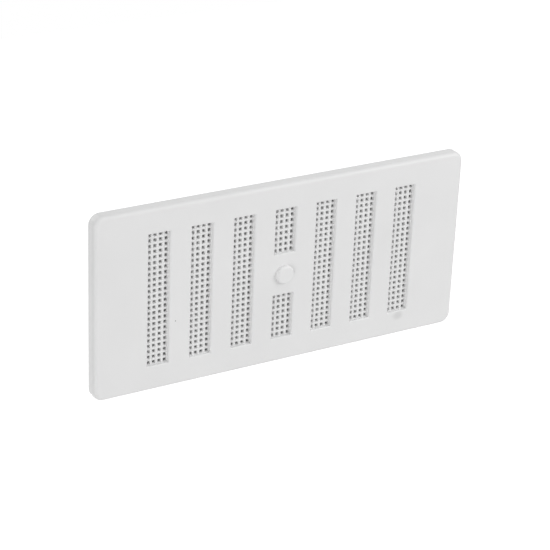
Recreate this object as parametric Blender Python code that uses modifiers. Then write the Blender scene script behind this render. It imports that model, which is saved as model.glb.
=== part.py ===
"""Hit and miss vent: a sliding cover with moulded flyscreens over a slotted plate on the wall.

Metres, +Z up. The vent hangs on a wall with its face towards -Y and is modelled closed.
The origin is the middle of the closed vent. The cover slides along +X to open it.
"""
import math

import bmesh
import bpy
from mathutils import Matrix

# Front cover, one moulding
COVER_LENGTH = 0.2514
COVER_HEIGHT = 0.1176
COVER_DEPTH = 0.0074
COVER_CORNER_RADIUS = 0.0068
COVER_EDGE_RADIUS = 0.0026
COVER_RIM_WALL = 0.0020
COVER_FACE_WALL = 0.0020
WALL_GAP = 0.0003

# Slots in the cover and the flyscreen in each, and the plain borders that are left round them
SLOT_PITCH = 0.0280
SLOT_END_BORDER = 0.0310
SCREEN_TOP_BORDER = 0.0160
KNOB_BORDER = 0.0125
SCREEN_COLUMNS = 4
SCREEN_COLUMN_PITCH = 0.00363
LONG_SCREEN_ROW_PITCH = 0.00357
SHORT_SCREEN_ROW_PITCH = 0.00370
SCREEN_BAR = 0.0014
SCREEN_SIDE_LEDGE = 0.0004
SCREEN_END_LEDGE = 0.0003
SCREEN_RECESS = 0.0024
UPRIGHT_BAR_DEPTH = 0.0005
LEVEL_BAR_DEPTH = 0.0009
SLOT_LIP_RADIUS = 0.0009
SLOT_COLLAR_WALL = 0.0012

# Hooks inside the long rims, which reach behind the back plate
HOOK_PITCH = 0.0700
HOOK_LENGTH = 0.0160
HOOK_REACH = 0.0020
HOOK_THICKNESS = 0.0010

# Back plate, fixed to the wall
SHUTTER_THICKNESS = 0.0015
SHUTTER_LAP = 0.0013
SHUTTER_RIM_WALL = 0.0012
PLATE_CORNER_RADIUS = 0.0055
PLATE_END_GAP = 0.0005
PLATE_SIDE_GAP = 0.0004
RUNNING_GAP = 0.0003
RAIL_LIP = 0.0042
RAIL_LIP_THICKNESS = 0.0014
RAIL_WALL = 0.0016
GUIDE_WALL = 0.0012
GUIDE_SLOT_GAP = 0.0003
SCREW_HOLE_RADIUS = 0.00225
SCREW_HEAD_RADIUS = 0.0045
SCREW_BOSS_WALL = 0.0012
SCREW_BOSS_HEIGHT = 0.0028
SCREW_INSET_END = 0.0095
SCREW_INSET_TOP = 0.0110

# Knob and its washer
KNOB_RADIUS = 0.0059
KNOB_HEIGHT = 0.0023
KNOB_EDGE_RADIUS = 0.0009
KNOB_SEAT_GAP = 0.0003
SHANK_RADIUS = 0.0025
SHANK_GAP = 0.0003
SHANK_TIP_CHAMFER = 0.0003
SHANK_END_CLEARANCE = 0.0002
KNOB_BOSS_WALL = 0.0027
WASHER_RADIUS = 0.0050
WASHER_THICKNESS = 0.0005
WASHER_PRONG_LENGTH = 0.0009
WASHER_DISH = 0.0003
WASHER_GAP = 0.0003
WASHER_POCKET_GAP = 0.0006
WASHER_PRONGS = 6
WASHER_SLIT_WIDTH = 0.0007
WASHER_SLIT_LENGTH = 0.0011

# Facets on round forms, how far a cutter runs past what it cuts, and how deep joined forms overlap
CORNER_SEGMENTS = 8
EDGE_SEGMENTS = 5
LIP_SEGMENTS = 3
ROUND_STEPS = 48
HOLE_STEPS = 32
OVERRUN = 0.0010
EMBED = 0.0005
FLAT_ON_ROUND_END = 0.000003

# Depths from the wall towards the room
COVER_BACK_AT = WALL_GAP
FACE_AT = COVER_BACK_AT + COVER_DEPTH
FACE_INSIDE_AT = FACE_AT - COVER_FACE_WALL
SCREEN_FRONT_AT = FACE_AT - SCREEN_RECESS
BARS_MEET_AT = SCREEN_FRONT_AT - UPRIGHT_BAR_DEPTH
SCREEN_BACK_AT = BARS_MEET_AT - LEVEL_BAR_DEPTH
RAIL_FRONT_AT = FACE_INSIDE_AT - RUNNING_GAP
RAIL_LIP_BACK_AT = RAIL_FRONT_AT - RAIL_LIP_THICKNESS
HOOK_FRONT_AT = RAIL_LIP_BACK_AT - RUNNING_GAP
RAISED_FRONT_AT = SCREEN_BACK_AT - RUNNING_GAP
GUIDE_INSIDE_AT = RAISED_FRONT_AT - GUIDE_WALL
WASHER_FRONT_AT = GUIDE_INSIDE_AT - WASHER_GAP
KNOB_SEAT_AT = FACE_AT + KNOB_SEAT_GAP
KNOB_TOP_AT = KNOB_SEAT_AT + KNOB_HEIGHT
WALL_Y = KNOB_TOP_AT / 2

# As many rows of openings and as many slots as fit inside the borders
LONG_SCREEN_ROOM = COVER_HEIGHT - 2 * SCREEN_TOP_BORDER
LONG_SCREEN_ROWS = math.floor((LONG_SCREEN_ROOM + SCREEN_BAR) / LONG_SCREEN_ROW_PITCH)
LONG_SCREEN_HEIGHT = LONG_SCREEN_ROWS * LONG_SCREEN_ROW_PITCH - SCREEN_BAR
SHORT_SCREEN_ROOM = LONG_SCREEN_HEIGHT / 2 - KNOB_BORDER
SHORT_SCREEN_ROWS = math.floor((SHORT_SCREEN_ROOM + SCREEN_BAR) / SHORT_SCREEN_ROW_PITCH)
SHORT_SCREEN_HEIGHT = SHORT_SCREEN_ROWS * SHORT_SCREEN_ROW_PITCH - SCREEN_BAR
SCREEN_WIDTH = SCREEN_COLUMNS * SCREEN_COLUMN_PITCH - SCREEN_BAR
SLOT_WIDTH = SCREEN_WIDTH + 2 * SCREEN_SIDE_LEDGE
SLOTS_EACH_SIDE = math.floor((COVER_LENGTH / 2 - SLOT_END_BORDER - SLOT_WIDTH / 2) / SLOT_PITCH)

# Lengths and heights that follow from the ones above
SHUTTER_SLOT_WIDTH = SLOT_PITCH - SLOT_WIDTH - 2 * SHUTTER_LAP
TRAVEL = SLOT_PITCH / 2
INSIDE_LENGTH = COVER_LENGTH - 2 * COVER_RIM_WALL
INSIDE_HEIGHT = COVER_HEIGHT - 2 * COVER_RIM_WALL
PLATE_LENGTH = INSIDE_LENGTH - TRAVEL - 2 * PLATE_END_GAP
PLATE_HEIGHT = INSIDE_HEIGHT - 2 * PLATE_SIDE_GAP
PLATE_X = TRAVEL / 2


def y_at(depth):
    """World Y of a depth measured from the wall."""
    return WALL_Y - depth


def collection(name):
    """A new collection in the scene."""
    made = bpy.data.collections.new(name)
    bpy.context.scene.collection.children.link(made)
    return made


def simple_material(name, colour, roughness, metallic):
    """A Principled material."""
    made = bpy.data.materials.new(name)
    made.use_nodes = True
    shader = made.node_tree.nodes["Principled BSDF"]
    shader.inputs["Base Color"].default_value = (*colour, 1.0)
    shader.inputs["Roughness"].default_value = roughness
    shader.inputs["Metallic"].default_value = metallic
    return made


def place(name, bm, where, material=None):
    """Turn a bmesh into a named object in a collection."""
    mesh = bpy.data.meshes.new(name)
    bm.to_mesh(mesh)
    bm.free()
    made = bpy.data.objects.new(name, mesh)
    where.objects.link(made)
    if material:
        mesh.materials.append(material)
    return made


def as_cutter(made):
    """Keep a cutter out of the render and draw it as wire."""
    made.hide_render = True
    made.display_type = "WIRE"
    return made


def cut(target, cutter, operation="DIFFERENCE"):
    """Add a live Boolean between two objects."""
    step = target.modifiers.new(cutter.name, "BOOLEAN")
    step.operation = operation
    step.solver = "EXACT"
    step.object = cutter


def add_box(bm, x_span, depth_span, z_span):
    """One closed box, given by its spans in X, in depth from the wall and in Z."""
    low = (min(x_span), y_at(max(depth_span)), min(z_span))
    high = (max(x_span), y_at(min(depth_span)), max(z_span))
    corners = bmesh.ops.create_cube(bm, size=2)["verts"]
    for corner in corners:
        corner.co = [high[i] if corner.co[i] > 0 else low[i] for i in range(3)]
    return corners


def round_corners(bm, corners, radius, segments):
    """Round the box edges that run from front to back."""
    edges = {edge for corner in corners for edge in corner.link_edges}
    upright = [e for e in edges if abs(e.verts[0].co.y - e.verts[1].co.y) > 1e-6]
    bmesh.ops.bevel(bm, geom=upright, offset=radius, segments=segments, profile=0.5, affect="EDGES")


def add_flared_box(bm, x_span, depth_span, z_span, radius):
    """A box cutter whose mouth flares by a quarter round, so that it leaves a rounded lip on the face."""
    back, face = depth_span
    corners = add_box(bm, x_span, (back, face - radius), z_span)
    front_y = y_at(face - radius)
    sides = {side for corner in corners for side in corner.link_faces}
    mouth = [side for side in sides if all(abs(corner.co.y - front_y) < 1e-6 for corner in side.verts)]
    for step in range(LIP_SEGMENTS):
        here, there = (math.pi / 2 * (step + i) / LIP_SEGMENTS for i in (0, 1))
        flare = radius * (math.cos(here) - math.cos(there))
        rise = radius * (math.sin(there) - math.sin(here))
        past_face = 2 if step == LIP_SEGMENTS - 1 else 1
        bmesh.ops.inset_region(
            bm, faces=mouth, thickness=-flare * past_face, depth=rise * past_face, use_even_offset=True)


def screens():
    """Every flyscreen as its centre X, its Z span, its rows of openings and their pitch."""
    top = LONG_SCREEN_HEIGHT / 2
    for number in range(-SLOTS_EACH_SIDE, SLOTS_EACH_SIDE + 1):
        x = number * SLOT_PITCH
        if number:
            yield x, (-top, top), LONG_SCREEN_ROWS, LONG_SCREEN_ROW_PITCH
        else:
            yield x, (top - SHORT_SCREEN_HEIGHT, top), SHORT_SCREEN_ROWS, SHORT_SCREEN_ROW_PITCH
            yield x, (-top, SHORT_SCREEN_HEIGHT - top), SHORT_SCREEN_ROWS, SHORT_SCREEN_ROW_PITCH


def around(centre, size):
    """The span of a size about its centre."""
    return centre - size / 2, centre + size / 2


def grown(span, margin):
    """A span made longer by a margin at both its ends."""
    return span[0] - margin, span[1] + margin


def add_rod(bm, x, z, radius, depth_span, steps):
    """One closed round rod that runs from front to back."""
    back, front = min(depth_span), max(depth_span)
    made = bmesh.ops.create_cone(
        bm, cap_ends=True, segments=steps, radius1=radius, radius2=radius, depth=2)["verts"]
    for corner in made:
        across, up, side = corner.co
        corner.co = (x + across, y_at(front if side > 0 else back), z + up)
    bmesh.ops.recalc_face_normals(bm, faces=bm.faces)


def turned(name, profile, closed, steps, where):
    """A turned form on the Y axis, from points of (radius, depth) run down its outer side."""
    count = len(profile)
    edges = [(i, i + 1) for i in range(count - 1)]
    if closed:
        edges.append((count - 1, 0))
    mesh = bpy.data.meshes.new(name)
    mesh.from_pydata([(radius, 0, depth) for radius, depth in profile], edges, [])
    made = bpy.data.objects.new(name, mesh)
    where.objects.link(made)
    made.location.y = WALL_Y
    made.rotation_euler.x = math.pi / 2
    screw = made.modifiers.new("turn", "SCREW")
    screw.axis = "Z"
    screw.steps = steps
    screw.render_steps = steps
    screw.use_merge_vertices = True
    screw.merge_threshold = 0.00001
    return made


def finish_turned(piece, material):
    """Fix a turned form as a mesh, shaded smooth up to its corners."""
    turned_mesh = bpy.data.meshes.new_from_object(
        piece.evaluated_get(bpy.context.evaluated_depsgraph_get()))
    piece.modifiers.clear()
    piece.data = turned_mesh
    shade(turned_mesh)
    turned_mesh.materials.append(material)
    return piece


def shade(mesh):
    """Smooth shading on round stretches, sharp at corners."""
    mesh.shade_smooth()
    mesh.set_sharp_from_angle(angle=math.radians(35))


def make_front_cover(parts, cutters, plastic):
    """The sliding cover: face, rim, slot collars, flyscreens and hooks in one moulding."""
    bm = bmesh.new()
    shell = add_box(bm, around(0, COVER_LENGTH), (COVER_BACK_AT, FACE_AT), around(0, COVER_HEIGHT))
    round_corners(bm, shell, COVER_CORNER_RADIUS, CORNER_SEGMENTS)
    front = y_at(FACE_AT)
    outline = [e for e in bm.edges if all(abs(v.co.y - front) < 1e-6 for v in e.verts)]
    bmesh.ops.bevel(
        bm, geom=outline, offset=COVER_EDGE_RADIUS, segments=EDGE_SEGMENTS, profile=0.5, affect="EDGES")
    cover = place("front_cover", bm, parts, plastic)
    shade(cover.data)

    bm = bmesh.new()
    for x, z_span, rows, row_pitch in screens():
        collar_x = around(x, SLOT_WIDTH + 2 * SLOT_COLLAR_WALL)
        collar_z = grown(z_span, SCREEN_END_LEDGE + SLOT_COLLAR_WALL)
        add_box(bm, collar_x, (SCREEN_BACK_AT, FACE_INSIDE_AT + OVERRUN), collar_z)
    boss_radius = SHANK_RADIUS + SHANK_GAP + KNOB_BOSS_WALL
    add_rod(bm, 0, 0, boss_radius, (SCREEN_BACK_AT, FACE_INSIDE_AT + OVERRUN), HOLE_STEPS)
    collars = as_cutter(place("slot_collars", bm, cutters))

    bm = bmesh.new()
    inside = add_box(
        bm, around(0, INSIDE_LENGTH), (COVER_BACK_AT - OVERRUN, FACE_INSIDE_AT), around(0, INSIDE_HEIGHT))
    round_corners(bm, inside, COVER_CORNER_RADIUS - COVER_RIM_WALL, CORNER_SEGMENTS)
    hollow = as_cutter(place("cover_hollow", bm, cutters))
    cut(hollow, collars)
    cut(cover, hollow)

    bm = bmesh.new()
    for x, z_span, rows, row_pitch in screens():
        slot_z = grown(z_span, SCREEN_END_LEDGE)
        add_flared_box(bm, around(x, SLOT_WIDTH), (SCREEN_FRONT_AT, FACE_AT), slot_z, SLOT_LIP_RADIUS)
    cut(cover, as_cutter(place("cover_slots", bm, cutters)))

    bm = bmesh.new()
    for x, z_span, rows, row_pitch in screens():
        add_box(bm, around(x, SCREEN_WIDTH), (SCREEN_BACK_AT - OVERRUN, FACE_AT + OVERRUN), z_span)
    cut(cover, as_cutter(place("screen_openings", bm, cutters)))

    bm = bmesh.new()
    add_rod(bm, 0, 0, SHANK_RADIUS + SHANK_GAP, (SCREEN_BACK_AT - OVERRUN, FACE_AT + OVERRUN), HOLE_STEPS)
    cut(cover, as_cutter(place("cover_knob_hole", bm, cutters)))

    bm = bmesh.new()
    for x, z_span, rows, row_pitch in screens():
        for row in range(1, rows):
            z = z_span[1] + SCREEN_BAR / 2 - row * row_pitch
            reach = around(x, SCREEN_WIDTH + 2 * EMBED)
            add_box(bm, reach, (SCREEN_BACK_AT, BARS_MEET_AT), around(z, SCREEN_BAR))
    cut(cover, as_cutter(place("level_screen_bars", bm, cutters)), "UNION")

    bm = bmesh.new()
    for x, z_span, rows, row_pitch in screens():
        for column in range(1, SCREEN_COLUMNS):
            bar_x = x - SCREEN_WIDTH / 2 - SCREEN_BAR / 2 + column * SCREEN_COLUMN_PITCH
            reach = grown(z_span, EMBED)
            add_box(bm, around(bar_x, SCREEN_BAR), (BARS_MEET_AT, SCREEN_FRONT_AT), reach)
    cut(cover, as_cutter(place("upright_screen_bars", bm, cutters)), "UNION")

    bm = bmesh.new()
    for side in (-1, 1):
        for number in (-1, 0, 1):
            rim = side * (INSIDE_HEIGHT / 2 + EMBED)
            tip = side * (INSIDE_HEIGHT / 2 - HOOK_REACH)
            depths = (HOOK_FRONT_AT - HOOK_THICKNESS, HOOK_FRONT_AT)
            add_box(bm, around(number * HOOK_PITCH, HOOK_LENGTH), depths, (rim, tip))
    cut(cover, as_cutter(place("cover_hooks", bm, cutters)), "UNION")
    return cover


def make_back_plate(parts, cutters, plastic):
    """The fixed plate: slotted shutter, rails that the hooks run behind, knob guide and screw holes."""
    bm = bmesh.new()
    slab = add_box(bm, around(PLATE_X, PLATE_LENGTH), (0, RAIL_FRONT_AT), around(0, PLATE_HEIGHT))
    round_corners(bm, slab, PLATE_CORNER_RADIUS, CORNER_SEGMENTS)
    plate = place("back_plate", bm, parts, plastic)

    screw_x = PLATE_LENGTH / 2 - SCREW_INSET_END
    screw_z = PLATE_HEIGHT / 2 - SCREW_INSET_TOP
    screws = [(PLATE_X + i * screw_x, j * screw_z) for i in (-1, 1) for j in (-1, 1)]
    pocket_reach = WASHER_RADIUS + WASHER_POCKET_GAP
    pocket_x = (-pocket_reach, TRAVEL + pocket_reach)
    pocket_z = (-pocket_reach, pocket_reach)

    bm = bmesh.new()
    for x, z_span, rows, row_pitch in screens():
        rim_x = around(x + TRAVEL, SHUTTER_SLOT_WIDTH + 2 * SHUTTER_RIM_WALL)
        add_box(bm, rim_x, (0, RAISED_FRONT_AT), grown(z_span, SHUTTER_RIM_WALL))
    add_box(bm, grown(pocket_x, GUIDE_WALL), (0, RAISED_FRONT_AT), grown(pocket_z, GUIDE_WALL))
    for x, z in screws:
        add_rod(bm, x, z, SCREW_HEAD_RADIUS + SCREW_BOSS_WALL, (0, SCREW_BOSS_HEIGHT), HOLE_STEPS)
    raised = as_cutter(place("raised_places", bm, cutters))

    bm = bmesh.new()
    add_box(
        bm, around(PLATE_X, PLATE_LENGTH - 2 * RAIL_WALL), (SHUTTER_THICKNESS, RAIL_FRONT_AT + OVERRUN),
        around(0, PLATE_HEIGHT - 2 * (RAIL_LIP + RAIL_WALL)))
    room = as_cutter(place("room_behind_screens", bm, cutters))
    cut(room, raised)
    cut(plate, room)

    bm = bmesh.new()
    for side in (-1, 1):
        channel_z = (side * (PLATE_HEIGHT / 2 - RAIL_LIP), side * (PLATE_HEIGHT / 2 + OVERRUN))
        past_ends = around(PLATE_X, PLATE_LENGTH + 2 * OVERRUN)
        add_box(bm, past_ends, (-OVERRUN, RAIL_LIP_BACK_AT), channel_z)
    add_box(bm, pocket_x, (-OVERRUN, GUIDE_INSIDE_AT), pocket_z)
    cut(plate, as_cutter(place("hook_channels_and_washer_pocket", bm, cutters)))

    bm = bmesh.new()
    for x, z_span, rows, row_pitch in screens():
        through = (-OVERRUN, RAISED_FRONT_AT + OVERRUN)
        add_box(bm, around(x + TRAVEL, SHUTTER_SLOT_WIDTH), through, z_span)
    cut(plate, as_cutter(place("shutter_slots", bm, cutters)))

    bm = bmesh.new()
    guide_radius = SHANK_RADIUS + GUIDE_SLOT_GAP
    guide = add_box(
        bm, (-guide_radius, TRAVEL + guide_radius), (-OVERRUN, RAISED_FRONT_AT + OVERRUN),
        (-guide_radius, guide_radius))
    round_corners(bm, guide, guide_radius - FLAT_ON_ROUND_END, CORNER_SEGMENTS)
    cut(plate, as_cutter(place("guide_slot", bm, cutters)))

    countersink = SCREW_HEAD_RADIUS - SCREW_HOLE_RADIUS
    hole_profile = [
        (0, SCREW_BOSS_HEIGHT + OVERRUN),
        (SCREW_HEAD_RADIUS + OVERRUN, SCREW_BOSS_HEIGHT + OVERRUN),
        (SCREW_HOLE_RADIUS, SCREW_BOSS_HEIGHT - countersink),
        (SCREW_HOLE_RADIUS, -OVERRUN),
        (0, -OVERRUN),
    ]
    for number, (x, z) in enumerate(screws, 1):
        hole = turned(f"screw_hole_{number}", hole_profile, False, HOLE_STEPS, cutters)
        hole.location.x = x
        hole.location.z = z
        cut(plate, as_cutter(hole))
    return plate


def make_knob(parts, plastic):
    """The finger knob: a round-edged button and the shank that carries it through both plates."""
    edge_centre = (KNOB_RADIUS - KNOB_EDGE_RADIUS, KNOB_TOP_AT - KNOB_EDGE_RADIUS)
    profile = [(0, KNOB_TOP_AT)]
    for step in range(EDGE_SEGMENTS + 1):
        angle = math.pi / 2 * (1 - step / EDGE_SEGMENTS)
        radius = edge_centre[0] + KNOB_EDGE_RADIUS * math.cos(angle)
        profile.append((radius, edge_centre[1] + KNOB_EDGE_RADIUS * math.sin(angle)))
    profile += [
        (KNOB_RADIUS, KNOB_SEAT_AT),
        (SHANK_RADIUS, KNOB_SEAT_AT),
        (SHANK_RADIUS, SHANK_END_CLEARANCE + SHANK_TIP_CHAMFER),
        (SHANK_RADIUS - SHANK_TIP_CHAMFER, SHANK_END_CLEARANCE),
        (0, SHANK_END_CLEARANCE),
    ]
    knob = turned("knob", profile, False, ROUND_STEPS, parts)
    return finish_turned(knob, plastic)


def make_retaining_washer(parts, cutters, steel):
    """The push-on washer behind the back plate: a flat ring with bent prongs round the shank."""
    hole = SHANK_RADIUS + SHANK_GAP
    bend = hole + WASHER_PRONG_LENGTH
    back_at = WASHER_FRONT_AT - WASHER_THICKNESS
    profile = [
        (WASHER_RADIUS, WASHER_FRONT_AT),
        (WASHER_RADIUS, back_at),
        (bend, back_at),
        (hole, back_at - WASHER_DISH),
        (hole, WASHER_FRONT_AT - WASHER_DISH),
        (bend, WASHER_FRONT_AT),
    ]
    washer = turned("retaining_washer", profile, True, ROUND_STEPS, parts)
    washer = finish_turned(washer, steel)

    bm = bmesh.new()
    for number in range(WASHER_PRONGS):
        depths = (back_at - WASHER_DISH - OVERRUN, WASHER_FRONT_AT + OVERRUN)
        slit = add_box(bm, (hole / 2, hole + WASHER_SLIT_LENGTH), depths, around(0, WASHER_SLIT_WIDTH))
        turn = Matrix.Rotation(math.tau * number / WASHER_PRONGS, 3, "Y")
        bmesh.ops.rotate(bm, cent=(0, 0, 0), matrix=turn, verts=slit)
    cut(washer, as_cutter(place("washer_slits", bm, cutters)))
    return washer


def main():
    """Clear the scene and model the closed vent, its sliding pieces under one empty."""
    for old in list(bpy.data.objects):
        bpy.data.objects.remove(old, do_unlink=True)
    parts = collection("hit_and_miss_vent")
    cutters = collection("cutters")
    cover_plastic = simple_material("white_cover_plastic", (0.78, 0.78, 0.78), 0.42, 0.0)
    knob_plastic = simple_material("white_knob_plastic", (0.80, 0.80, 0.80), 0.38, 0.0)
    plate_plastic = simple_material("white_plate_plastic", (0.76, 0.76, 0.76), 0.45, 0.0)
    spring_steel = simple_material("spring_steel", (0.55, 0.55, 0.56), 0.35, 1.0)

    make_back_plate(parts, cutters, plate_plastic)
    slide = bpy.data.objects.new("cover_slide_axis", None)
    parts.objects.link(slide)
    for piece in (
            make_front_cover(parts, cutters, cover_plastic),
            make_knob(parts, knob_plastic),
            make_retaining_washer(parts, cutters, spring_steel)):
        piece.parent = slide


main()
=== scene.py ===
"""Looks of a hit and miss vent: a sliding cover with moulded flyscreens over a slotted plate."""
import math

import bmesh
import bpy
import numpy as np
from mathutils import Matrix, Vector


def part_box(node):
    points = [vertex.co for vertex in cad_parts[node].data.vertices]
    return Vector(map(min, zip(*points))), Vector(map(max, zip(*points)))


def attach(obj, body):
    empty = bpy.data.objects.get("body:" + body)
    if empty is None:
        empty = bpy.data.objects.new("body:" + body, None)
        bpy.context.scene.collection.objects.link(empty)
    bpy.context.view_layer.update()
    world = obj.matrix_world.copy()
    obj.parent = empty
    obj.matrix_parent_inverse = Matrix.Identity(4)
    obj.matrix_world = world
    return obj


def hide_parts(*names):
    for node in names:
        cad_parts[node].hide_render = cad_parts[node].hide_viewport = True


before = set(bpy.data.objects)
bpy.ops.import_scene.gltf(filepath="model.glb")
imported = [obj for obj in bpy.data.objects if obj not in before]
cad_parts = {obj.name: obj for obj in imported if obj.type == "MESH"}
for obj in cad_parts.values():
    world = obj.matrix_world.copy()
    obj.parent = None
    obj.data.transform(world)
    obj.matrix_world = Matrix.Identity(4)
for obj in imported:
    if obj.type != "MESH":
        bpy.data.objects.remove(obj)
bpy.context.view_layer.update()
scene = bpy.context.scene

# Back plate, the fixed half of the shutter, moulded in white polystyrene and screwed to the wall.
# Its flat faces are whole, and its corners carry the small rounds that a moulding tool leaves.
PLATE_EASE = 0.00025
PLATE_ROUGHNESS = 0.5

# Moulded polystyrene: clouds where the melt flowed, about 45 mm across, under the tool's grain. The
# real grain is about 0.05 mm wide, too fine to show, so it is drawn 0.6 mm wide and 0.02 mm high.
CLOUD_WIDTH = 0.045
CLOUD_DETAIL = 3.0
GRAIN_WIDTH = 0.0006
GRAIN_DETAIL = 2.0
GRAIN_HEIGHT = 0.00002
GRAIN_STRENGTH = 0.25
SHEEN_SPREAD = 0.04
POLYSTYRENE_IOR = 1.59
POLYSTYRENE_SPECULAR = 0.3

# Sockets of a Mix node for colours, by number: the colours that it blends, and the blend.
FIRST_COLOUR, SECOND_COLOUR, BLEND = 6, 7, 2

# Points of a CAD piece nearer than this are one corner. Triangles that turn by less than the first
# angle are one flat face, and corners that turn by more than the second are rounded.
SAME_POINT = 0.00002
FLAT_ANGLE = math.radians(0.5)
CORNER_ANGLE = math.radians(40)
EASE_STEPS = 2


def linear(hex_colour):
    """An sRGB hex colour as linear RGBA."""
    channels = [int(hex_colour[i:i + 2], 16) / 255 for i in (1, 3, 5)]
    channels = [c / 12.92 if c <= 0.04045 else ((c + 0.055) / 1.055) ** 2.4 for c in channels]
    return (*channels, 1.0)


def add_node(tree, kind, settings=None, values=None, links=None):
    """One shader node: its settings, its socket values, and the sockets that feed it."""
    node = tree.nodes.new(kind)
    for name, value in (settings or {}).items():
        setattr(node, name, value)
    for name, value in (values or {}).items():
        node.inputs[name].default_value = value
    for name, source in (links or {}).items():
        tree.links.new(source, node.inputs[name])
    return node


def moulded_polystyrene(name, colour, cloud_colour, roughness):
    """Moulded polystyrene, an opaque satin white whose highlights are broad and soft.

    The clouds blend its colour to a slightly duller one. The grain moves the roughness by the
    sheen's spread to either side and stands a little out of the surface.
    """
    made = bpy.data.materials.new(name)
    made.use_nodes = True
    tree = made.node_tree
    shader = tree.nodes["Principled BSDF"]
    shader.inputs["IOR"].default_value = POLYSTYRENE_IOR
    shader.inputs["Specular IOR Level"].default_value = POLYSTYRENE_SPECULAR
    where = add_node(tree, "ShaderNodeTexCoord").outputs["Object"]
    clouds = add_node(
        tree, "ShaderNodeTexNoise", values={"Scale": 1 / CLOUD_WIDTH, "Detail": CLOUD_DETAIL},
        links={"Vector": where})
    blend = add_node(
        tree, "ShaderNodeMix", {"data_type": "RGBA"},
        values={FIRST_COLOUR: linear(colour), SECOND_COLOUR: linear(cloud_colour)},
        links={"Factor": clouds.outputs["Fac"]})
    tree.links.new(blend.outputs[BLEND], shader.inputs["Base Color"])
    grain = add_node(
        tree, "ShaderNodeTexNoise", values={"Scale": 1 / GRAIN_WIDTH, "Detail": GRAIN_DETAIL},
        links={"Vector": where})
    sheen = add_node(
        tree, "ShaderNodeMapRange",
        values={"To Min": roughness - SHEEN_SPREAD, "To Max": roughness + SHEEN_SPREAD},
        links={"Value": grain.outputs["Fac"]})
    tree.links.new(sheen.outputs["Result"], shader.inputs["Roughness"])
    bump = add_node(
        tree, "ShaderNodeBump", values={"Strength": GRAIN_STRENGTH, "Distance": GRAIN_HEIGHT},
        links={"Height": grain.outputs["Fac"]})
    tree.links.new(bump.outputs["Normal"], shader.inputs["Normal"])
    return made, blend


def eased_copy(node_name, name, material, ease):
    """A CAD piece with its triangles joined into whole flat faces and its corners rounded.

    Each corner is cut back by the ease on both its faces and filled with an arc.
    """
    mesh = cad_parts[node_name].data.copy()
    whole = bmesh.new()
    whole.from_mesh(mesh)
    bmesh.ops.remove_doubles(whole, verts=whole.verts, dist=SAME_POINT)
    bmesh.ops.dissolve_limit(
        whole, angle_limit=FLAT_ANGLE, use_dissolve_boundaries=False,
        verts=whole.verts, edges=whole.edges)
    whole.to_mesh(mesh)
    whole.free()
    mesh.materials.clear()
    mesh.materials.append(material)
    mesh.shade_smooth()
    made = bpy.data.objects.new(name, mesh)
    scene.collection.objects.link(made)
    eased = made.modifiers.new("eased_corners", "BEVEL")
    eased.width = ease
    eased.segments = EASE_STEPS
    eased.limit_method = "ANGLE"
    eased.angle_limit = CORNER_ANGLE
    made.modifiers.new("flat_faces_stay_flat", "WEIGHTED_NORMAL")
    return made


plate_plastic, _ = moulded_polystyrene(
    "moulded_polystyrene_plate", "#D6D6D6", "#CECECE", PLATE_ROUGHNESS)
back_plate = eased_copy("back_plate", "back_plate_moulding", plate_plastic, PLATE_EASE)
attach(back_plate, "wall_plate")
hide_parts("back_plate")

# Retaining washer, pressed from zinc-plated spring steel and pushed on to the knob's shank.
# Its bright plating reflects softly, because rolled strip has a fine grain along one way.
WASHER_EASE = 0.00005

# Zinc plate over rolled strip: a pale blue-grey metal, darker and rougher between its streaks. They
# are 6 mm long. Real ones lie about 0.05 mm apart, and they are drawn 0.4 mm apart to show.
ZINC_PLATE = "#B9BBBE"
ZINC_SHADE = "#A4A7AC"
ZINC_ROUGHNESS = (0.26, 0.40)
STREAK_SIZE = (0.006, 0.0004, 0.0004)

zinc = bpy.data.materials.new("zinc_plated_spring_steel")
zinc.use_nodes = True
tree = zinc.node_tree
shader = tree.nodes["Principled BSDF"]
shader.inputs["Metallic"].default_value = 1.0
where = add_node(tree, "ShaderNodeTexCoord").outputs["Object"]
along = add_node(
    tree, "ShaderNodeMapping", values={"Scale": tuple(1 / size for size in STREAK_SIZE)},
    links={"Vector": where})
streaks = add_node(
    tree, "ShaderNodeTexNoise", values={"Scale": 1.0}, links={"Vector": along.outputs["Vector"]})
tone = add_node(
    tree, "ShaderNodeMix", {"data_type": "RGBA"},
    values={FIRST_COLOUR: linear(ZINC_PLATE), SECOND_COLOUR: linear(ZINC_SHADE)},
    links={"Factor": streaks.outputs["Fac"]})
tree.links.new(tone.outputs[BLEND], shader.inputs["Base Color"])
rolled_sheen = add_node(
    tree, "ShaderNodeMapRange", values={"To Min": ZINC_ROUGHNESS[0], "To Max": ZINC_ROUGHNESS[1]},
    links={"Value": streaks.outputs["Fac"]})
tree.links.new(rolled_sheen.outputs["Result"], shader.inputs["Roughness"])
washer = eased_copy("retaining_washer", "push_on_washer", zinc, WASHER_EASE)
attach(washer, "cover")
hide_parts("retaining_washer")

# Front cover, one moulding in white polystyrene: face, rolled rim, slots with their flyscreens,
# the collars that stiffen them and the hooks that hold the cover on the back plate.
cover_low, cover_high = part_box("front_cover")
LENGTH = cover_high.x - cover_low.x
HEIGHT = cover_high.z - cover_low.z
FACE_Y = cover_low.y
BACK_Y = cover_high.y
CORNER_RADIUS = 0.0068
EDGE_RADIUS = 0.0026
RIM_WALL = 0.0020
FACE_WALL = 0.0020
SLOTS_EACH_SIDE = 3
SLOT_PITCH = 0.0280
COLUMNS = 4
COLUMN_PITCH = 0.00363
LONG_ROWS = 24
LONG_ROW_PITCH = 0.00357
SHORT_ROWS = 8
SHORT_ROW_PITCH = 0.00370
BAR = 0.0014
SIDE_LEDGE = 0.0004
END_LEDGE = 0.0003
SCREEN_RECESS = 0.0024
SCREEN_THICKNESS = 0.0014
SCREEN_BACK = SCREEN_RECESS + SCREEN_THICKNESS
SCREEN_DRAFT = 0.00015
COLLAR_WALL = 0.0012
LIP = 0.0009
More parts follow.
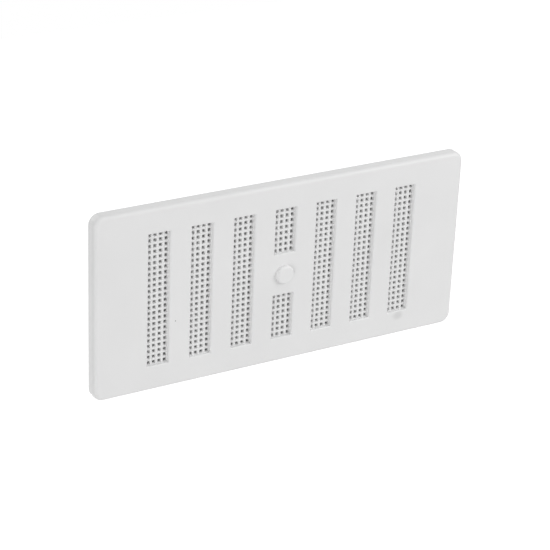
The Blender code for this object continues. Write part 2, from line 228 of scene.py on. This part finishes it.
KNOB_HOLE_RADIUS = 0.0028
KNOB_BOSS_RADIUS = 0.0055
HOOKS_EACH_SIDE = 1
HOOK_PITCH = 0.0700
HOOK_LENGTH = 0.0160
HOOK_TIP_INSET = 0.0040
HOOK_DEPTHS = (0.0040, 0.0050)
COVER_ROUGHNESS = 0.42

# The mesh: so many faces across each round, one more ring in the knob's boss, and the distance from
# the knob at which rings have become squares again. Edges that turn more than the angle stay crisp.
EDGE_STEPS = 6
CORNER_STEPS = 4
LIP_STEPS = 4
KNOB_HOLE_STEPS = 3
BOSS_RING = 0.0042
KNOB_SETTLES_AT = 0.0080
CRISP_ANGLE = math.radians(32)

# Closer than the first, two grid lines are one. Closer than the second, a point is on a line. The
# third keeps a division off nought.
SAME_LINE = 1e-6
ON_LINE = 1e-7
NOT_NOUGHT = 1e-9

half_length, half_height = LENGTH / 2, HEIGHT / 2
half_column = (COLUMN_PITCH - BAR) / 2
half_long_row = (LONG_ROW_PITCH - BAR) / 2
half_short_row = (SHORT_ROW_PITCH - BAR) / 2
long_screen = LONG_ROWS * LONG_ROW_PITCH - BAR
short_screen = SHORT_ROWS * SHORT_ROW_PITCH - BAR
half_slot = (COLUMNS * COLUMN_PITCH - BAR + 2 * SIDE_LEDGE) / 2
half_long_slot = long_screen / 2 + END_LEDGE
half_short_slot = short_screen / 2 + END_LEDGE
short_middle = (long_screen - short_screen) / 2


def evenly(count, pitch):
    """So many places at an even pitch, centred on nought."""
    return pitch * (np.arange(count) - (count - 1) / 2)


slot_x = SLOT_PITCH * np.arange(-SLOTS_EACH_SIDE, SLOTS_EACH_SIDE + 1)
hook_x = HOOK_PITCH * np.arange(-HOOKS_EACH_SIDE, HOOKS_EACH_SIDE + 1)
column_x = np.ravel(evenly(COLUMNS, COLUMN_PITCH)[None, :] + slot_x[:, None])
long_row_z = evenly(LONG_ROWS, LONG_ROW_PITCH)
one_short = evenly(SHORT_ROWS, SHORT_ROW_PITCH)
short_row_z = np.concatenate([one_short - short_middle, one_short + short_middle])


def both_sides(centres, *halves):
    """Lines at each half width to either side of each centre."""
    return np.concatenate([np.ravel(centres) + side * half for half in halves for side in (-1, 1)])


def lines(*groups):
    """Grid lines in order, with no line twice."""
    every = np.sort(np.concatenate([np.ravel(group) for group in groups]))
    return every[np.append(True, np.diff(every) > SAME_LINE)]


def nearest(places, centres):
    """The centre that lies nearest to each place."""
    return centres[np.abs(places[..., None] - centres).argmin(axis=-1)]


def past_slot_end(z, in_middle):
    """How far a height lies past the nearest end of its slot, and below nought within the slot.

    The middle slot is two short ones, so its heights are measured from the middle of either.
    """
    past_short = np.abs(np.abs(z) - short_middle) - half_short_slot
    return np.where(in_middle, past_short, np.abs(z) - half_long_slot)


def skin_of_cells(x_lines, y_lines, z_lines, solid):
    """The closed skin of a solid that is told cell by cell on a grid of lines.

    A cell side is part of the skin where plastic is on one side of it and air on the other.
    The side runs round its cell so that it faces the air.
    """
    counts = (len(x_lines), len(y_lines), len(z_lines))
    ids = np.arange(counts[0] * counts[1] * counts[2]).reshape(counts)
    padded = np.pad(solid.astype(np.int8), 1)
    quads = []
    for axis in range(3):
        step = np.diff(padded, axis=axis)
        inside = [slice(1, -1)] * 3
        inside[axis] = slice(None)
        step = step[tuple(inside)]
        second, third = (axis + 1) % 3, (axis + 2) % 3
        at = np.argwhere(step != 0)
        move_second, move_third = np.eye(3, dtype=int)[[second, third]]
        corners = [at, at + move_second, at + move_second + move_third, at + move_third]
        found = np.stack([ids[tuple(corner.T)] for corner in corners], axis=1)
        entering = step[tuple(at.T)] > 0
        found[entering] = found[entering][:, ::-1]
        quads.append(found)
    quads = np.concatenate(quads)
    used, quads = np.unique(quads, return_inverse=True)
    grid = np.stack(np.meshgrid(x_lines, y_lines, z_lines, indexing="ij"), axis=-1).reshape(-1, 3)
    return grid[used], quads.reshape(-1, 4)


def piece_from(name, points, quads, material):
    """A mesh object at the origin from points and four-sided faces, smooth up to its corners."""
    mesh = bpy.data.meshes.new(name)
    mesh.from_pydata(points.tolist(), [], quads.tolist())
    mesh.materials.append(material)
    mesh.shade_smooth()
    mesh.set_sharp_from_angle(angle=CRISP_ANGLE)
    made = bpy.data.objects.new(name, mesh)
    scene.collection.objects.link(made)
    even = made.modifiers.new("flat_faces_stay_flat", "WEIGHTED_NORMAL")
    even.keep_sharp = True
    return made


# The grid's lines lie at every edge of the cover, and at the steps of each round.
edge_lines = np.linspace(0, EDGE_RADIUS, EDGE_STEPS + 1)
corner_lines = np.linspace(EDGE_RADIUS, CORNER_RADIUS, CORNER_STEPS + 1)
insets = np.concatenate([edge_lines, [RIM_WALL], corner_lines])
lip_lines = np.linspace(0, LIP, LIP_STEPS + 1)
hole_lines = np.linspace(0, KNOB_HOLE_RADIUS, KNOB_HOLE_STEPS + 1)
knob_lines = np.concatenate([hole_lines, [BOSS_RING, KNOB_BOSS_RADIUS, KNOB_SETTLES_AT]])
x_lines = lines(
    both_sides(0, *(half_length - insets)),
    both_sides(slot_x, *(half_slot + lip_lines), half_slot + COLLAR_WALL),
    both_sides(column_x, half_column),
    both_sides(0, *knob_lines),
    both_sides(hook_x, HOOK_LENGTH / 2))
z_lines = lines(
    both_sides(0, *(half_height - insets), half_height - HOOK_TIP_INSET),
    both_sides(0, *(half_long_slot + lip_lines), half_long_slot + COLLAR_WALL),
    both_sides([-short_middle, short_middle], *(half_short_slot + lip_lines),
               half_short_slot + COLLAR_WALL),
    both_sides(long_row_z, half_long_row),
    both_sides(short_row_z, half_short_row),
    both_sides(0, *knob_lines))
depth_lines = lines(
    edge_lines, lip_lines, [FACE_WALL, SCREEN_RECESS, SCREEN_BACK], HOOK_DEPTHS, [BACK_Y - FACE_Y])

# Each cell is plastic or air by where its middle lies.
x, depth, z = ((ends[1:] + ends[:-1]) / 2 for ends in (x_lines, depth_lines, z_lines))
x, depth, z = x[:, None, None], depth[None, :, None], z[None, None, :]
in_middle = np.abs(x) < SLOT_PITCH / 2
from_slot = np.abs(x - nearest(x, slot_x))
past_end = past_slot_end(z, in_middle)
in_slot = (from_slot < half_slot) & (past_end < 0)
in_collar = (from_slot < half_slot + COLLAR_WALL) & (past_end < COLLAR_WALL) & ~in_slot
row_open = np.where(
    in_middle, np.abs(z - nearest(z, short_row_z)) < half_short_row,
    np.abs(z - nearest(z, long_row_z)) < half_long_row)
in_opening = (np.abs(x - nearest(x, column_x)) < half_column) & row_open
from_knob = np.maximum(np.abs(x), np.abs(z))
rim = (np.abs(x) > half_length - RIM_WALL) | (np.abs(z) > half_height - RIM_WALL)
face = (depth < FACE_WALL) & ~in_slot
screens = (depth > SCREEN_RECESS) & (depth < SCREEN_BACK) & in_slot & ~in_opening
collars = (depth > FACE_WALL) & (depth < SCREEN_BACK) & in_collar
boss = (depth < SCREEN_BACK) & (from_knob < KNOB_BOSS_RADIUS)
hooks = (
    (np.abs(x - nearest(x, hook_x)) < HOOK_LENGTH / 2) & (np.abs(z) > half_height - HOOK_TIP_INSET)
    & (depth > HOOK_DEPTHS[0]) & (depth < HOOK_DEPTHS[1]))
plastic = rim | face | screens | collars | boss | hooks
plastic = plastic & ~(from_knob < KNOB_HOLE_RADIUS)
points, quads = skin_of_cells(x_lines, depth_lines, z_lines, plastic)


def rolled(inset, depth, radius):
    """A square edge turned to a quarter round: flat distances on its two faces become an angle.

    A point on the face at an inset from the edge, or on the side at a depth below it, goes to the
    arc at 45 degrees less, or more, its share of the roll. It returns the new inset and depth.
    """
    angle = math.pi / 4 * (1 - inset / radius + depth / radius)
    return radius * (1 - np.sin(angle)), radius * (1 - np.cos(angle))


def square_to_round(across, up):
    """Points of a quarter square turned on to a quarter circle.

    The larger of a point's two distances becomes its radius. Its angle from that side is 45
    degrees times the smaller distance as a share of the larger.
    """
    far = np.maximum(across, up)
    turn = math.pi / 4 * np.minimum(across, up) / np.maximum(far, NOT_NOUGHT)
    turn = np.where(up > across, math.pi / 2 - turn, turn)
    return far * np.cos(turn), far * np.sin(turn)


def round_rim(points):
    """The rim's rolled front edge and its round corners.

    The inset from the outline is rolled with the depth below the face. In the four corners a point
    keeps its distance from the corner's centre, measured square, and is turned on to a circle.
    """
    x, depth, z = points.T
    over_x = np.abs(x) - (half_length - CORNER_RADIUS)
    over_z = np.abs(z) - (half_height - CORNER_RADIUS)
    out = np.maximum(over_x, over_z)
    inset = CORNER_RADIUS - out
    on_edge = (
        ((depth < ON_LINE) & (inset < EDGE_RADIUS)) | ((inset < ON_LINE) & (depth < EDGE_RADIUS)))
    new_inset, new_depth = rolled(inset, depth, EDGE_RADIUS)
    new_inset = np.where(on_edge, new_inset, inset)
    depth = np.where(on_edge, new_depth, depth)
    grow = np.where(out > 0, (CORNER_RADIUS - new_inset) / np.maximum(out, NOT_NOUGHT), 1)
    side_x, side_z = np.maximum(over_x, 0) * grow, np.maximum(over_z, 0) * grow
    in_corner = (over_x > 0) & (over_z > 0)
    round_x, round_z = square_to_round(side_x, side_z)
    side_x = np.where(in_corner, round_x, side_x)
    side_z = np.where(in_corner, round_z, side_z)
    x = np.sign(x) * (np.minimum(np.abs(x), half_length - CORNER_RADIUS) + side_x)
    z = np.sign(z) * (np.minimum(np.abs(z), half_height - CORNER_RADIUS) + side_z)
    return np.stack([x, depth, z], axis=1)


def round_slot_lips(points):
    """The round lip of each slot: the distance outside the slot is rolled with the depth.

    A point at z nought beside the knob counts as inside a short slot's height, so the face dips
    there by up to 0.26 mm, 7.2 mm to either side of the knob's axis. That is a known fault.
    """
    x, depth, z = points.T
    middle_x = nearest(x, slot_x)
    in_middle = np.abs(middle_x) < SLOT_PITCH / 2
    middle_z = np.where(in_middle, np.sign(z) * short_middle, 0)
    out_x = np.abs(x - middle_x) - half_slot
    out_z = np.abs(z - middle_z) - np.where(in_middle, half_short_slot, half_long_slot)
    out = np.maximum(out_x, out_z)
    on_lip = (
        (out > -ON_LINE) & (out < LIP) & (depth < LIP) & ((out < ON_LINE) | (depth < ON_LINE)))
    new_out, new_depth = rolled(out, depth, LIP)
    shift = np.where(on_lip, new_out - out, 0)
    share_x = np.clip((out_x + ON_LINE) / (out + ON_LINE), 0, 1)
    share_z = np.clip((out_z + ON_LINE) / (out + ON_LINE), 0, 1)
    x = x + np.sign(x - middle_x) * shift * share_x
    z = z + np.sign(z - middle_z) * shift * share_z
    return np.stack([x, np.where(on_lip, new_depth, depth), z], axis=1)


def draft_screen_openings(points):
    """The taper that frees a screen from its mould: at the back each opening closes in all round.

    Inside an opening the pull towards its middle grows evenly from none to the draft at the sides.
    """
    x, depth, z = points.T
    in_middle = np.abs(nearest(x, slot_x)) < SLOT_PITCH / 2
    column = nearest(x, column_x)
    row = np.where(in_middle, nearest(z, short_row_z), nearest(z, long_row_z))
    half_row = np.where(in_middle, half_short_row, half_long_row)
    at_back = (
        (np.abs(depth - SCREEN_BACK) < SAME_LINE) & (past_slot_end(z, in_middle) < -SAME_LINE)
        & (np.abs(x - nearest(x, slot_x)) < half_slot - SAME_LINE))
    x = x - np.where(at_back, SCREEN_DRAFT * np.clip((x - column) / half_column, -1, 1), 0)
    z = z - np.where(at_back, SCREEN_DRAFT * np.clip((z - row) / half_row, -1, 1), 0)
    return np.stack([x, depth, z], axis=1)


def round_knob_hole(points):
    """The knob's hole and boss made round: square distance from the middle becomes a radius.

    From the boss outwards the rings blend evenly back into squares.
    """
    x, depth, z = points.T
    far = np.maximum(np.abs(x), np.abs(z))
    round_x, round_z = square_to_round(np.abs(x), np.abs(z))
    weight = np.clip((KNOB_SETTLES_AT - far) / (KNOB_SETTLES_AT - KNOB_BOSS_RADIUS), 0, 1)
    x = x + weight * (np.sign(x) * round_x - x)
    z = z + weight * (np.sign(z) * round_z - z)
    return np.stack([x, depth, z], axis=1)


points = round_knob_hole(draft_screen_openings(round_slot_lips(round_rim(points))))
points[:, 1] += FACE_Y
cover_plastic, cover_colour = moulded_polystyrene(
    "moulded_polystyrene_cover", "#F2F2F2", "#EAEAEA", COVER_ROUGHNESS)

# A faint grey patch that darkens the face just below the last slot, and a dark fleck of burnt
# plastic in the face, as ovals with their centre in X and Z, their half widths, and how strongly
# they cover the white.
FACE_MARKS = (
    {"centre": (0.0847, -0.0455), "radii": (0.0052, 0.0042), "colour": "#B4B4B4", "strength": 0.32},
    {"centre": (-0.0730, -0.0159), "radii": (0.00052, 0.00052), "colour": "#4C4C4C",
     "strength": 0.95})
MARK_CORE = 0.2


def mark_on_face(tree, under, centre, radii, colour, strength):
    """A soft oval spot: the distance from its centre in radii, faded from its core to none at 1."""
    where = add_node(tree, "ShaderNodeTexCoord").outputs["Object"]
    scale = (1 / radii[0], 1 / FACE_WALL, 1 / radii[1])
    shift = tuple(-c * s for c, s in zip((centre[0], FACE_Y, centre[1]), scale))
    local = add_node(
        tree, "ShaderNodeMapping", values={"Location": shift, "Scale": scale},
        links={"Vector": where})
    far = add_node(
        tree, "ShaderNodeVectorMath", {"operation": "LENGTH"}, links={0: local.outputs["Vector"]})
    amount = add_node(
        tree, "ShaderNodeMapRange", {"interpolation_type": "SMOOTHSTEP"},
        values={"From Min": MARK_CORE, "From Max": 1.0, "To Min": strength, "To Max": 0.0},
        links={"Value": far.outputs["Value"]})
    over = add_node(
        tree, "ShaderNodeMix", {"data_type": "RGBA"}, values={SECOND_COLOUR: linear(colour)},
        links={"Factor": amount.outputs["Result"], FIRST_COLOUR: under.outputs[BLEND]})
    tree.links.new(over.outputs[BLEND], tree.nodes["Principled BSDF"].inputs["Base Color"])
    return over


for mark in FACE_MARKS:
    cover_colour = mark_on_face(cover_plastic.node_tree, cover_colour, **mark)
cover = piece_from("front_cover_moulding", points, quads, cover_plastic)
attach(cover, "cover")
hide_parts("front_cover")

# Knob, a round moulding in the same white polystyrene: a low button with a soft edge, on a shank
# that passes through both plates to the washer. Its foot comes down close to the face, so that no
# light shows under it.
knob_low, knob_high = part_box("knob")
KNOB_RADIUS = (knob_high.x - knob_low.x) / 2
KNOB_FRONT_Y = knob_low.y
SHANK_TIP_Y = knob_high.y
KNOB_FOOT_GAP = 0.00006
KNOB_FOOT_Y = FACE_Y - KNOB_FOOT_GAP
KNOB_EDGE = (0.0013, 0.0019)
KNOB_FOOT = (0.00010, 0.00010)
SHANK_RADIUS = 0.0025
SHANK_CHAMFER = 0.0003
KNOB_ROUGHNESS = 0.38

# Points along the two rounds, faces round the knob, and the tiny holes on its axis that get closed.
EDGE_POINTS = 14
FOOT_POINTS = 5
KNOB_SIDES = 96
AXIS_HOLE = 0.00001


def turned(profile, steps):
    """A form turned about Y: each point of (radius, y) is carried round in equal steps."""
    radius, along = np.array(profile).T
    angle = math.tau * np.arange(steps) / steps
    rings = np.stack([
        radius[:, None] * np.cos(angle), np.broadcast_to(along[:, None], (len(radius), steps)),
        radius[:, None] * np.sin(angle)], axis=-1)
    first = np.arange(len(radius) - 1)[:, None] * steps
    step = np.arange(steps)
    following = (step + 1) % steps
    quads = np.stack(
        [first + step, first + following, first + steps + following, first + steps + step], axis=-1)
    return rings.reshape(-1, 3), quads.reshape(-1, 4)


def arc(centre, radii, start, end, count):
    """Points of an oval arc in (radius, y): half axes times an angle's cosine and sine."""
    return [
        (centre[0] + radii[0] * math.cos(angle), centre[1] + radii[1] * math.sin(angle))
        for angle in np.radians(np.linspace(start, end, count))]


edge_centre = (KNOB_RADIUS - KNOB_EDGE[0], KNOB_FRONT_Y + KNOB_EDGE[1])
foot_centre = (KNOB_RADIUS - KNOB_FOOT[0], KNOB_FOOT_Y - KNOB_FOOT[1])
knob_profile = (
    [(AXIS_HOLE, KNOB_FRONT_Y), (KNOB_RADIUS / 3, KNOB_FRONT_Y),
     (KNOB_RADIUS * 2 / 3, KNOB_FRONT_Y)]
    + arc(edge_centre, KNOB_EDGE, -90, 0, EDGE_POINTS)
    + arc(foot_centre, KNOB_FOOT, 0, 90, FOOT_POINTS)
    + [(SHANK_RADIUS, KNOB_FOOT_Y), (SHANK_RADIUS, SHANK_TIP_Y - SHANK_CHAMFER),
       (SHANK_RADIUS - SHANK_CHAMFER, SHANK_TIP_Y), (AXIS_HOLE, SHANK_TIP_Y)])
knob_points, knob_quads = turned(knob_profile, KNOB_SIDES)
knob_plastic, _ = moulded_polystyrene(
    "moulded_polystyrene_knob", "#F2F2F2", "#EDEDED", KNOB_ROUGHNESS)
knob = piece_from("knob_moulding", knob_points, knob_quads, knob_plastic)
ends = bmesh.new()
ends.from_mesh(knob.data)
bmesh.ops.holes_fill(ends, edges=ends.edges, sides=0)
bmesh.ops.recalc_face_normals(ends, faces=ends.faces)
ends.to_mesh(knob.data)
ends.free()
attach(knob, "cover")
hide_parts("knob")

# Studio: a pale floor far below and white air round the vent, which hangs as it does on a wall.
# Softboxes at the left, right and top light the face evenly, and one behind lights the back.
FLOOR_Z = -0.90
FLOOR_SIZE = 6.0
WHITE = (1.0, 1.0, 1.0, 1.0)
AIR_LIGHT = 0.40
SOFTBOXES = (
    {"name": "left_softbox", "place": (-1.35, -1.05, -0.3), "size": 1.0, "watts": 8.4},
    {"name": "right_softbox", "place": (0.95, -1.0, 0.6), "size": 0.8, "watts": 8.2},
    {"name": "top_softbox", "place": (0.0, -0.4, 1.4), "size": 1.0, "watts": 3.6},
    {"name": "back_softbox", "place": (-0.5, 1.6, 0.7), "size": 1.2, "watts": 9.0})


def seen_by_eye(tree):
    """One for a ray from the camera, a gloss or glass, and nought for a ray that carries light."""
    ray = add_node(tree, "ShaderNodeLightPath")
    mirrored = add_node(
        tree, "ShaderNodeMath", {"operation": "MAXIMUM"},
        links={0: ray.outputs["Is Glossy Ray"], 1: ray.outputs["Is Transmission Ray"]})
    seen = add_node(
        tree, "ShaderNodeMath", {"operation": "MAXIMUM"},
        links={0: ray.outputs["Is Camera Ray"], 1: mirrored.outputs["Value"]})
    return seen.outputs["Value"]


floor_mesh = bpy.data.meshes.new("studio_floor")
edge = FLOOR_SIZE / 2
floor_mesh.from_pydata(
    [(-edge, -edge, FLOOR_Z), (edge, -edge, FLOOR_Z), (edge, edge, FLOOR_Z),
     (-edge, edge, FLOOR_Z)], [], [(0, 1, 2, 3)])
floor = bpy.data.objects.new("studio_floor", floor_mesh)
scene.collection.objects.link(floor)

# Matt white paint, which spreads the light softly and looks plain white to the eye.
paint = bpy.data.materials.new("matt_white_floor_paint")
paint.use_nodes = True
tree = paint.node_tree
tree.nodes.remove(tree.nodes["Principled BSDF"])
pale = add_node(tree, "ShaderNodeBsdfDiffuse", values={"Color": linear("#E6E6E6")})
glow = add_node(
    tree, "ShaderNodeEmission", values={"Color": WHITE}, links={"Strength": seen_by_eye(tree)})
both = add_node(tree, "ShaderNodeAddShader", links={0: pale.outputs[0], 1: glow.outputs[0]})
tree.links.new(both.outputs[0], tree.nodes["Material Output"].inputs["Surface"])
floor_mesh.materials.append(paint)

world = bpy.data.worlds.new("white_studio")
scene.world = world
world.use_nodes = True
tree = world.node_tree
level = add_node(
    tree, "ShaderNodeMapRange", values={"To Min": AIR_LIGHT, "To Max": 1.0},
    links={"Value": seen_by_eye(tree)})
air = tree.nodes["Background"]
air.inputs["Color"].default_value = WHITE
tree.links.new(level.outputs["Result"], air.inputs["Strength"])


def soft_light(name, place, size, watts):
    """A square studio lamp that looks at the vent."""
    lamp = bpy.data.lights.new(name, "AREA")
    lamp.size = size
    lamp.energy = watts
    made = bpy.data.objects.new(name, lamp)
    made.location = place
    toward = -made.location
    made.rotation_euler = toward.to_track_quat("-Z", "Y").to_euler()
    scene.collection.objects.link(made)


for softbox in SOFTBOXES:
    soft_light(**softbox)

# Camera, at the photograph's place: in front of the vent, to its left and above it. Its place is
# counted from the middle of the screens, and its turn about X, Y and Z is in degrees.
CAMERA_FROM_SCREENS = (-0.5514, -0.9182, 0.4965)
CAMERA_TURN = (65.015, -2.151, -29.775)
CAMERA_LENS = 128.44
CAMERA_SENSOR = 36.0

screens_y = FACE_Y + SCREEN_RECESS + SCREEN_THICKNESS / 2
camera_data = bpy.data.cameras.new("camera")
camera_data.lens = CAMERA_LENS
camera_data.sensor_width = CAMERA_SENSOR
camera = bpy.data.objects.new("camera", camera_data)
camera.location = (
    CAMERA_FROM_SCREENS[0], screens_y + CAMERA_FROM_SCREENS[1], CAMERA_FROM_SCREENS[2])
camera.rotation_euler = [math.radians(turn) for turn in CAMERA_TURN]
scene.collection.objects.link(camera)
scene.camera = camera
scene.view_settings.view_transform = "Standard"
